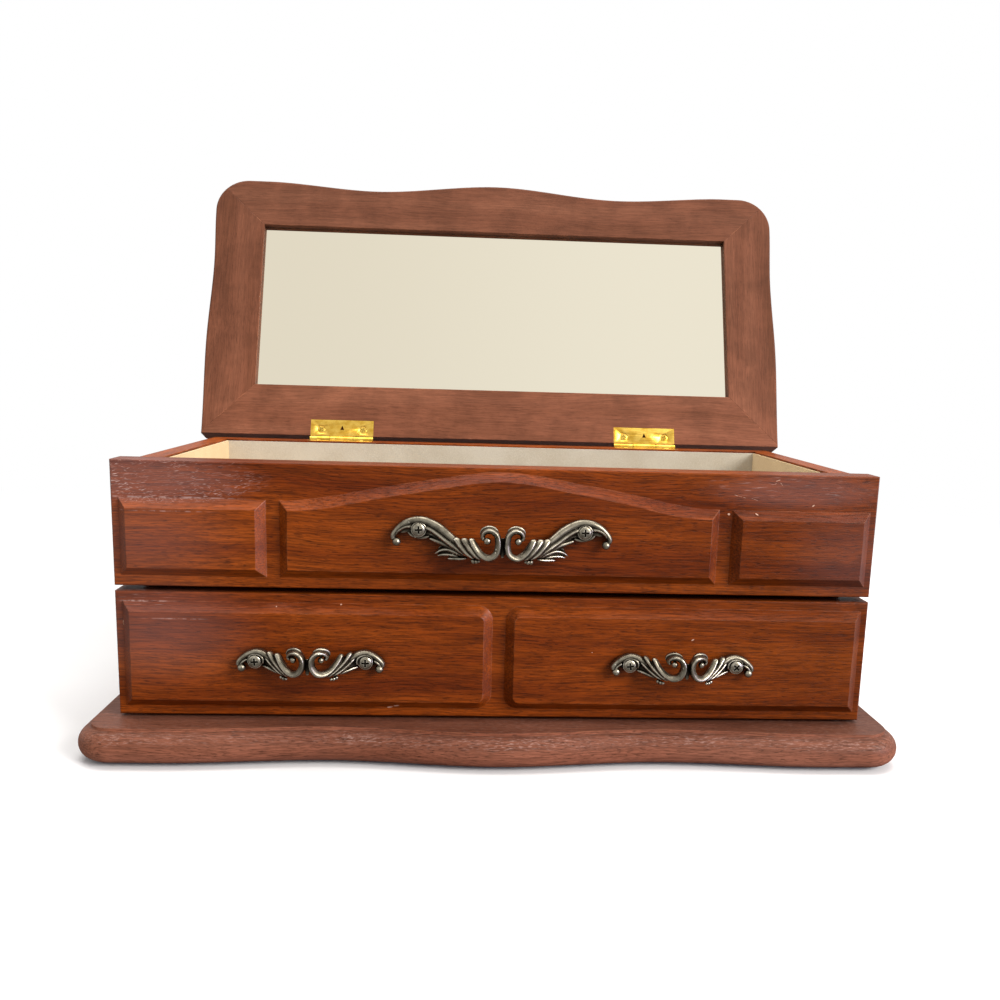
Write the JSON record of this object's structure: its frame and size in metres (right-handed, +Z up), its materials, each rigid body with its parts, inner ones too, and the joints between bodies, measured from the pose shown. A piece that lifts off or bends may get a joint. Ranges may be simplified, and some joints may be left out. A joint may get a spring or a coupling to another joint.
{
  "type": "vanity box with mirror",
  "caption": "Wooden vanity box: a lined tray under a hinged mirror lid, one drawer with scroll pulls below, on a plinth with a serpentine front.",
  "frame": {"origin": "middle of the underside, on the felt's lower face", "axes": "+X to the right seen from the front, +Y to the rear, +Z up; the lid is open, leaning back"},
  "size_m": [0.3076, 0.1963, 0.2375],
  "materials": {
    "stained_wood": "red-brown stain under satin varnish",
    "frame_wood": "red-brown stain, dull",
    "inner_wood": "bare",
    "cream_lining": "flocked card",
    "cream_velvet": "velvet",
    "brown_felt": "felt",
    "antique_brass": "antiqued, dark in the hollows",
    "bright_brass": "bright",
    "steel": "plain",
    "mirror": "silvered"
  },
  "bodies": {
    "case": {"base_plinth": "stained_wood", "underside_felt": "brown_felt", "base_screws": "steel", "side_left": "stained_wood", "side_right": "stained_wood", "back_panel": "stained_wood", "upper_front": "stained_wood", "tray_floor": "inner_wood", "tray_floor_lining": "cream_lining", "front_lining": "cream_lining", "rear_lining": "cream_lining", "left_lining": "cream_lining", "right_lining": "cream_lining", "ring_bay_divider": "cream_lining", "tray_divider": "cream_lining", "ring_roll_1": "cream_velvet", "ring_roll_2": "cream_velvet", "ring_roll_3": "cream_velvet", "ring_roll_4": "cream_velvet", "ring_roll_5": "cream_velvet", "ring_roll_6": "cream_velvet", "upper_pull": "antique_brass", "upper_pull_screws": "antique_brass", "case_leaf_left": "bright_brass", "case_leaf_right": "bright_brass", "hinge_pin_left": "bright_brass", "hinge_pin_right": "bright_brass", "case_hinge_screws": "bright_brass"},
    "lid": {"lid_rail_rear": "frame_wood", "lid_rail_front": "frame_wood", "lid_stile_left": "frame_wood", "lid_stile_right": "frame_wood", "lid_board": "stained_wood", "mirror_glass": "mirror", "mirror_backing": "inner_wood", "lid_leaf_left": "bright_brass", "lid_leaf_right": "bright_brass", "lid_hinge_screws": "bright_brass"},
    "drawer": {"drawer_front": "stained_wood", "drawer_side_left": "inner_wood", "drawer_side_right": "inner_wood", "drawer_back": "inner_wood", "drawer_bottom": "inner_wood", "drawer_lining": "cream_lining", "drawer_pull_left": "antique_brass", "drawer_pull_right": "antique_brass", "drawer_pull_screws": "antique_brass"}
  },
  "joints": [
    {"name": "lid_hinge", "type": "hinge", "parent": "case", "child": "lid", "pos_m": [0, 0.0679, 0.11], "axis": [1, 0, 0], "range_deg": [0, 110]},
    {"name": "drawer_slide", "type": "slide", "parent": "case", "child": "drawer", "axis": [0, -1, 0], "range_m": [0, 0.075]}
  ]
}
